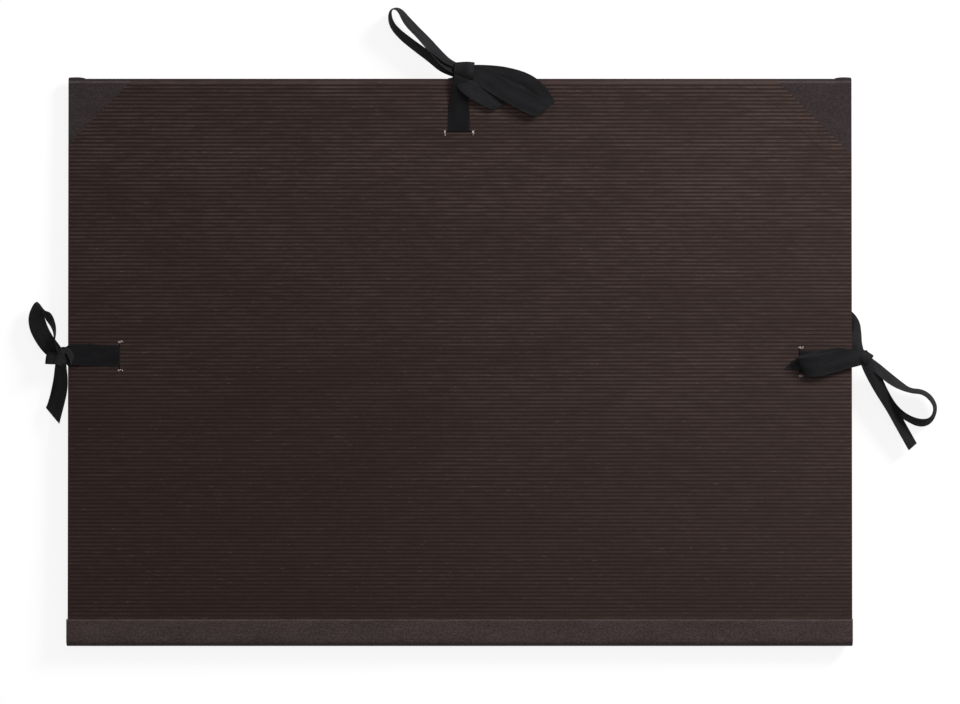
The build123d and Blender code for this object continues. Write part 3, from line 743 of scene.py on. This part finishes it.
# %% Stations over the ground
BACK_STRAPS = {
    "top": [
        (-1.0, -24.0, 0.15, -10.0, 0.0, 0.0), (-1.0, 0.2, 0.15, -10.0, 0.0, 0.0),
        (-1.0, 0.9, 0.15, -10.0, 0.0, 0.0), (-1.0, 0.9, 1.0, -9.5, 0.0, 0.0),
        (0.0, 0.9, 3.6, -8.0, 0.0, 0.0), (1.2, 2.2, 4.8, -7.0, 0.0, 0.0),
        (1.8, 5.2, 5.2, -6.0, 0.0, 0.0),
    ],
    "left": [
        (24.0, 5.0, 0.15, 0.0, 10.0, 0.0), (-0.2, 5.0, 0.15, 0.0, 10.0, 0.0),
        (-0.9, 5.0, 0.15, 0.0, 10.0, 0.0), (-0.9, 5.0, 1.0, 0.0, 9.5, 0.0),
        (-0.9, 5.0, 9.8, 0.0, 8.0, 0.0), (-2.2, 5.0, 10.7, 0.0, 7.0, 0.0),
    ],
    "right": [
        (-40.4, 0.5, 0.15, -4.2, 9.2, 0.0), (-24.0, 20.0, 0.15, -6.6, 7.6, 0.0),
        (-9.0, 35.0, 0.15, -5.4, 8.4, 0.0), (-0.8, 40.4, 0.2, -1.4, 9.2, 0.4),
        (3.6, 33.5, 2.6, 4.6, 4.6, -1.5), (4.4, 24.5, 4.6, 5.4, 1.0, -3.0),
        (4.6, 14.5, 6.4, 5.4, 0.6, -3.0), (6.6, 6.0, 8.0, 5.4, 1.4, 0.0),
    ],
}

# %% [markdown]
# ## Tying the bows
#
# Each tape is one strip to its cut end, and so keeps one length as a real one does. The front
# tape of a pair starts at its glued end. The back tape's loop and tail are a strip of their own,
# because a tied bow moves with the front cover, and the strap of its back tape parts from it
# there as if untied. Every tape says how long it was cut, which is as long as its line.

# %% Front tapes, with their loops and tails
TIED = 2 * FLAT_STRAP  # a place far along a tape, past its flat strap


def tie_tape(name, stations, body="front_cover", held="folded", **how):
    """Lays a tape, and says what it moves with and the size that it was cut to."""
    tape, line = lay_tape(name, stations, **how)
    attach(tape, body)
    run_length(line)
    print(name, round(run_length(line) / MM), "mm")
    return tape


def lay_parts(name, side, *parts, **how):
    """A tape through the named parts of its bow."""
    stations = [station for part in parts for station in LOOPS[f"{side} {part}"]]
    tie_tape(name, over_cover(side, stations), start=TIED, **how)


def lay_front(side, *parts, **how):
    """A front tape, from its glued end through the named parts of its bow. It stands for the
    packed ribbon and bow."""
    stations = through_slit(side, GLUED, ON_RIBS) + STRAPS[side]
    for part in parts:
        stations += LOOPS[f"{side} {part}"]
    tape = tie_tape(f"{side}_front_tape", over_cover(side, stations), **how)
    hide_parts(f"{side}_front_ribbon", f"{side}_bow")


lay_front("top", "leaf", "tail", seed=1, clip=5 * MM)
lay_parts("top_loop_tape", "top", "long loop", seed=2)
lay_front("left", "loop", "tail", seed=3, clip=9 * MM)
lay_parts("left_loop_tape", "left", "short loop", "short tail", seed=4, clip=-3.5 * MM)
lay_front("right", "leaf", "tail", seed=5)
lay_parts("right_loop_tape", "right", "round loop", "short tail", seed=6, clip=8 * MM)

# %% [markdown]
# ## Knots
#
# Each bow is drawn together by one wrap of tape. It is wound here as a short strip on a few
# stations round the strands: the strip's edge vector runs along the strands, and leans as the
# wrap leans in the photograph. The folds of a gathered wrap are tucked to the inside.

# %% Winding a knot
STATIONS_A_TURN = 9
WRAP_GROWS = 0.12  # how much wider the wrap ends than it starts


def wind_knot(side, centre, along, wide, high, half, start, turns, lean, seed):
    """A wrap of tape round a centre over the cover. along is the way its strands run, wide and
    high the wrap's size across them, half the half-width of the wrap and lean how far it leans,
    in millimetres. It starts at an angle and goes round so many turns."""
    middle = over_cover(side, [(*centre, 0, 0, 0)])[0][0]
    along = Vector(along).normalized()
    cross, up = Vector((0, 0, 1)).cross(along), Vector((0, 0, 1))
    stations = []
    steps = round(turns * STATIONS_A_TURN)
    for k in range(steps + 1):
        turn = start + 2 * pi * turns * k / steps
        grown = 1 + WRAP_GROWS * k / steps
        place = cross * (wide / 2 * grown * cos(turn)) + up * (high / 2 * grown * sin(turn))
        edge = along * half + cross * (lean * cos(turn)) + up * (lean * sin(turn))
        stations.append((middle + place * MM, edge * MM))
    tie_tape(f"{side}_knot", stations, restless=0.35 * MM, crown=0.9 * MM, inside=middle,
             seed=seed, start=TIED)


wind_knot("top", (3.6, 7.0, 2.4), along=(1, -0.12, 0), wide=13.6, high=9.8, half=8.8,
          start=-0.6 * pi, turns=1.3, lean=1.2, seed=21)
wind_knot("left", (-7.4, 4.6, 2.2), along=(0.42, 1, 0), wide=8.6, high=7.4, half=7.4,
          start=-0.7 * pi, turns=1.2, lean=-0.8, seed=22)
wind_knot("right", (10.9, 3.0, 2.0), along=(1, -0.75, 0), wide=11.5, high=8.4, half=5.6,
          start=-0.6 * pi, turns=1.3, lean=0.8, seed=23)

# %% The turned end beside the left knot
TURNED_END = [
    (-6.6, 10.4, 1.0, -1.8, 1.6, -2.0), (-3.4, 11.4, 3.6, -1.0, 2.6, -1.2),
    (0.4, 9.6, 4.2, 1.2, 2.2, -1.0), (3.2, 5.6, 4.0, 2.2, 1.2, -1.0),
    (4.6, 1.0, 3.2, 2.2, 0.6, -1.2), (4.2, -3.4, 1.4, 1.6, -0.2, -1.6),
]
tie_tape("left_turned_end", over_cover("left", TURNED_END), restless=0.2 * MM, crown=0.5 * MM,
         seed=24, start=TIED)

# %% [markdown]
# ## Back tapes
#
# The back tapes lie flat under the back cover as far as its edge and rise from there to their
# knots. The right one goes out beside the cover and is creased lengthwise there. Its crease
# starts past the glued end, which has to stay flat below the lining.

# %% Back tapes
CREASED = {"right": 3.2 * MM}
CREASED_FROM = 84 * MM
for seed, side in enumerate(SIDES):
    stations = over_ground(side, through_slit(side, GLUED_BACK, ON_GROUND) + BACK_STRAPS[side])
    tape = tie_tape(f"{side}_back_tape", stations, body="back_cover", held="stretched",
                    restless=0.0, crown=CREASED.get(side, 0.0), crown_from=CREASED_FROM,
                    floor=0.0, seed=10 + seed)
    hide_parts(f"{side}_back_ribbon")

# %% [markdown]
# ## The spine's cloth
#
# One strip of book cloth laps the back cover, runs up the spine and laps the front cover, and it
# is turned in round the boards' ends at head and tail. An inner strip lines the hinge. Each is
# made as two skins that meet halfway up the spine, one for each hinge line where the real cloth
# folds. Each skin crosses one hinge and turns smoothly there. It is a grid whose columns follow
# a smooth profile, and the first and last rows of the outer skins are drawn in round the ends.

# %% Profiles of the skins
MID = HINGE_TOP / 2
BULGE = HINGE_Y - 4.6 * MM  # how far out the spine's cloth stands
INSIDE = 3.66               # in millimetres, from a cover's outer cloth to its inner strip


def at(y, z):
    """A place given in millimetres, as y and z."""
    return y * MM, z * MM


def on_top(y, below=0.0):
    """A place on the front cover's cloth, or so far below it, as y and z."""
    return y * MM, HINGE_TOP - (y * MM - HINGE_Y) * SLOPE - below * MM


outer_back = [(LAP_EDGE, 0.02 * MM), at(-240.0, 0.0), at(-250.0, 0.0), at(-255.6, 0.0),
              at(-257.6, 0.05), at(-259.4, 1.1), at(-261.0, 3.2), (BULGE, 5.4 * MM), (BULGE, MID)]
outer_front = [(BULGE, MID), (BULGE, 9.3 * MM), at(-261.0, 11.5), at(-259.4, 13.6),
               on_top(-257.6, 0.05), on_top(-255.6), on_top(-250.0), on_top(-240.0),
               on_top(LAP_EDGE / MM)]
inner_back = [(-259.3 * MM, MID), at(-259.2, 6.0), at(-258.5, 4.7), at(-257.5, 3.8),
              at(-256.0, INSIDE), at(-250.0, INSIDE), at(-239.0, INSIDE)]
inner_front = [on_top(-239.0, INSIDE), on_top(-250.0, INSIDE), on_top(-256.0, INSIDE),
               on_top(-257.5, 3.8), at(-258.5, 10.0), at(-259.2, 8.7), (-259.3 * MM, MID)]


# %% Laying a skin
LEFT_REACH = 0.7 * MM  # how much further the cloth stands out at the left end
ROW_STEP, ROWS_A_SIDE = 4 * MM, 45
SKIN_THICKNESS = 0.28 * MM
RIPPLE = 0.12 * MM                  # how far the cloth waves off its profile
RIPPLES, RIPPLES_ACROSS = 18, 0.12  # how fast that noise changes along and across the spine


def lay_cloth(name, profile, end, turned_in, seed):
    """A skin along the spine with a profile of (y, z), from minus end to end. Its last rows go
    round the boards' ends and in by turned_in."""
    curve = smooth_line([Vector((0, y, z)) for y, z in profile], steps=5)
    line = [(p.y, p.z) for p in curve]
    inward = []
    for k in range(len(line)):
        (y0, z0), (y1, z1) = line[max(k - 1, 0)], line[min(k + 1, len(line) - 1)]
        inward.append(Vector((0, z1 - z0, y0 - y1)).normalized())
    side = [(end - ROW_STEP * k - ROW_STEP / 2, 0.0) for k in range(ROWS_A_SIDE, 0, -1)]
    if turned_in:
        side += [(end - 0.9 * MM, 0.0), (end - 0.3 * MM, 0.12 * MM), (end, 0.5 * MM),
                 (end, 0.5 * turned_in), (end, turned_in)]
    else:
        side.append((end, 0.0))
    rows = [(-x - LEFT_REACH * x / end, d) for x, d in reversed(side)] + [(0.0, 0.0)] + side
    skin = new_grid(name, len(rows) - 1, len(line) - 1)
    for vertex in skin.data.vertices:
        row, column = grid_place(vertex, len(rows) - 1, len(line) - 1)
        (x, depth), (y, z) = rows[row], line[column]
        waves = Vector((x * RIPPLES, column * RIPPLES_ACROSS, seed))
        wave = 0.0 if depth else RIPPLE * noise.noise(waves)
        vertex.co = Vector((x, y, z)) + inward[column] * (depth + abs(wave))
    thicken(skin, SKIN_THICKNESS, offset=-1)
    width = run_length(curve)
    print(name, len(skin.data.polygons), "faces,", round(width / MM, 1), "mm wide")
    return skin, (width, 2 * (end + turned_in) + LEFT_REACH)


# %% Spine and hinge cloth
# Where each fold starts and ends to turn, across the hinge line of its joint
LOW_FOLD = {"start": (0, -0.2562, 0.0), "end": (0, -0.2584, 0.0018)}
HIGH_FOLD = {"start": (0, -0.2584, 0.0129), "end": (0, -0.2562, 0.0147)}
LOW_PAIR, HIGH_PAIR = ("back_cover", "spine"), ("spine", "front_cover")
OUTER = HALF_WIDTH + 0.58 * MM, 3.2 * MM, spine_finish  # its end, how far it turns in, finish
INNER = 344.0 * MM, 0.0, cloth
SKINS = {
    "spine_skin_back": (outer_back, OUTER, LOW_PAIR, LOW_FOLD,
                        ("spine_cloth_back", "spine_cloth")),
    "spine_skin_front": (outer_front, OUTER, HIGH_PAIR, HIGH_FOLD, ("spine_cloth_front",)),
    "hinge_skin_back": (inner_back, INNER, LOW_PAIR, LOW_FOLD,
                        ("hinge_strip_back", "spine_lining")),
    "hinge_skin_front": (inner_front, INNER, HIGH_PAIR, HIGH_FOLD, ("hinge_strip_front",)),
}
for seed, name in enumerate(SKINS):
    profile, (end, turned_in, finish), pair, fold, stands_for = SKINS[name]
    skin, flat = lay_cloth(name, profile, end, turned_in, seed)
    paint(skin, finish)
    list(pair)
    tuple(fold["start"])
    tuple(fold["end"])
    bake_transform(skin)
    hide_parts(*stands_for)

# %% [markdown]
# ## Folded corners
#
# At each free corner the cloth is folded over itself, and the fold stands a little proud of the
# cover's edge. It starts as a cube, is drawn out to the fold's size, rounded with a bevel and
# then pinched towards both ends.

# %% Folded corners
FOLD_SIZE = (15 * MM, 2.4 * MM, 3.0 * MM)
FOLD_ROUNDING = 0.9 * MM
FOLD_INSET = 0.2 * MM             # from the cover's end to the fold's
FOLD_UNEVEN, LUMPS = 0.25 * MM, 260   # how far it is off straight, and how fast that changes
FRONT_FOLD_DOWN = 1.75 * MM       # the fold's middle below the front cover's rib tops
BACK_FOLD_UP = 1.95 * MM          # and over the ground


def corner_fold(name, side, height, body):
    """A soft ridge of folded cloth along the open edge at one corner."""
    bpy.ops.mesh.primitive_cube_add(size=1)
    fold = bpy.context.object
    fold.name = fold.data.name = name
    bpy.ops.object.mode_set(mode="EDIT")
    bpy.ops.mesh.select_all(action="SELECT")
    bpy.ops.transform.resize(value=FOLD_SIZE)
    bpy.ops.mesh.bevel(offset=FOLD_ROUNDING, segments=3, affect="EDGES")
    bpy.ops.mesh.subdivide(number_cuts=2)
    bpy.ops.object.mode_set(mode="OBJECT")
    for vertex in fold.data.vertices:
        reach = vertex.co.x / FOLD_SIZE[0] + 0.5          # 0 at the corner, 1 at the far end
        vertex.co.y *= 0.35 + 0.85 * sin(pi * min(0.15 + 0.8 * reach, 1)) ** 0.8
        vertex.co.y += FOLD_UNEVEN * noise.noise(vertex.co * LUMPS)
        along_edge = side * (HALF_WIDTH - FOLD_INSET - reach * FOLD_SIZE[0])
        vertex.co = Vector((along_edge, OPEN_Y + vertex.co.y, height + vertex.co.z))
    if side > 0:
        bpy.ops.object.mode_set(mode="EDIT")
        bpy.ops.mesh.select_all(action="SELECT")
        bpy.ops.mesh.flip_normals()
        bpy.ops.object.mode_set(mode="OBJECT")
    bpy.ops.object.shade_smooth()
    paint(fold, corner_cloth)
    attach(fold, body)
    print(name, len(fold.data.polygons), "faces")


for side, hand in ((-1, "left"), (1, "right")):
    front_middle = front_height(OPEN_Y) - FRONT_FOLD_DOWN
    corner_fold(f"front_fold_{hand}", side, front_middle, "front_cover")
    corner_fold(f"back_fold_{hand}", side, BACK_FOLD_UP, "back_cover")

# %% [markdown]
# ## Torn paper at the slits
#
# A slit ends in a short return on each side, and there the punch has torn pale fibres out of the
# paper. One fibre is a small sphere drawn out long. It is copied and strewn along each return
# with a seeded choice of place, length and direction.

# %% Fibres at the slits
SLIT_HALF = 12.9 * MM  # from the middle of a slit to its end
FIBRES_AT_AN_END = 11
FIBRE_WIDTH, FIBRE_HEIGHT = 0.17 * MM, 0.13 * MM
FIBRE_LEVEL = {"front_cover": 0.02 * MM, "back_cover": 0.28 * MM}


def fibre_tufts():
    """Each fibre of one cover's slits: its place, half its length, its turn and its rise."""
    dice = Random(7)
    for side, facts in SIDES.items():
        out, along = facts["out"], facts["along"]
        back = Vector((1, 0, 0)) if side != "top" else Vector((0, -1, 0))
        sideways = Vector((abs(along.x), abs(along.y), 0))
        middle = facts["edge"] - out * SLIT_INSET[side] * MM + sideways * SLIT_SHIFT[side] * MM
        for end in (-1, 1):
            tip = middle + sideways * end * SLIT_HALF
            for _ in range(FIBRES_AT_AN_END):
                place = tip + back * dice.uniform(-0.9, 3.4) * MM
                place += sideways * end * dice.uniform(-0.5, 0.9) * MM
                length, turn = dice.uniform(0.5, 1.3) * MM, dice.uniform(0, pi)
                yield place, length, turn, dice.uniform(-0.25, 0.35)


bpy.ops.mesh.primitive_ico_sphere_add(subdivisions=2, radius=1)
fibre = bpy.context.object
for body in ("front_cover", "back_cover"):
    copies = []
    for place, length, turn, rise in fibre_tufts():
        copy = bpy.data.objects.new("fibre", fibre.data.copy())
        bpy.context.scene.collection.objects.link(copy)
        shape = Matrix.Diagonal((length, FIBRE_WIDTH, FIBRE_HEIGHT, 1))
        turned = Matrix.Rotation(turn, 4, "Z") @ Matrix.Rotation(rise, 4, "Y")
        ground = front_height(place.y) if body == "front_cover" else 0.0
        place.z = ground + FIBRE_LEVEL[body]
        copy.data.transform(Matrix.Translation(place) @ turned @ shape)
        copies.append(copy)
    select_only(*copies)
    bpy.ops.object.join()
    tufts = bpy.context.object
    tufts.name = tufts.data.name = f"{body}_fibres"
    bpy.ops.object.shade_smooth()
    paint(tufts, torn_paper)
    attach(tufts, body)
    print(tufts.name, len(tufts.data.polygons), "faces")
bpy.data.objects.remove(fibre)

# %% [markdown]
# ## Table and light
#
# The table is white and shows only as the white of the picture, with the soft shadow that the
# bows drop on it. To the camera it mostly glows by itself, so that it stays white, and to the
# light it is a plain white table. Its level is a little below the back cover, because the spine's
# cloth stands out from the hinges by that much and hangs there when the covers lie open. The
# light is broad and comes from above, a little stronger from the upper right, where the covers
# are brightest in the photograph.

# %% What the camera sees of table and world
def grey(level):
    """A grey given as an amount of light."""
    return level, level, level, 1


def seen_directly(tree):
    """1 for what the camera sees, also in gloss or through glass, and 0 for light on its way."""
    rays = Value(tree, None).node("ShaderNodeLightPath").socket.node.outputs
    seen = Value(tree, rays["Is Camera Ray"])
    for ray in ("Is Glossy Ray", "Is Transmission Ray"):
        seen = seen.math("MAXIMUM", Value(tree, rays[ray]))
    return seen


# %% Table
TABLE_LEVEL = -5.0 * MM
TABLE_SIZE = 12
LIT_TABLE, SEEN_TABLE, TABLE_GLOW = 0.80, 0.16, 0.86
bpy.ops.mesh.primitive_plane_add(size=TABLE_SIZE, location=(0, 0, TABLE_LEVEL))
table = bpy.context.object
table.name = "table"
table_paint = bpy.data.materials.new("table")
table_paint.use_nodes = True
table_shader = table_paint.node_tree.nodes["Principled BSDF"]
seen = seen_directly(table_paint.node_tree)
table_colour = seen.mix(grey(LIT_TABLE), grey(SEEN_TABLE))
glow = seen.mix(grey(0), grey(TABLE_GLOW))
for name, value in {"Base Color": table_colour, "Emission Color": glow}.items():
    table_paint.node_tree.links.new(value.socket, table_shader.inputs[name])
for name, value in {"Emission Strength": 1.0, "Roughness": 1.0, "Specular IOR Level": 0.0}.items():
    table_shader.inputs[name].default_value = value
paint(table, table_paint)

# %% Light
SKY = 0.36  # how strongly the world lights the portfolio from all sides
world = bpy.data.worlds.new("world")
bpy.context.scene.world = world
world.use_nodes = True
backdrop = world.node_tree.nodes["Background"]
world_colour = seen_directly(world.node_tree).mix(grey(SKY), grey(1))
world.node_tree.links.new(world_colour.socket, backdrop.inputs["Color"])
backdrop.inputs["Strength"].default_value = 1.0


def softbox(name, place, size, power):
    """A square lamp that faces the middle of the portfolio."""
    lamp = bpy.data.lights.new(name, "AREA")
    lamp.shape, lamp.size, lamp.energy = "SQUARE", size, power
    holder = bpy.data.objects.new(name, lamp)
    holder.location = place
    holder.rotation_euler = (-Vector(place)).to_track_quat("-Z", "Y").to_euler()
    bpy.context.scene.collection.objects.link(holder)


softbox("softbox_upper_right", place=(1.9, 1.6, 1.5), size=0.9, power=100)
softbox("softbox_above", place=(0.1, 0.5, 2.2), size=1.2, power=6)
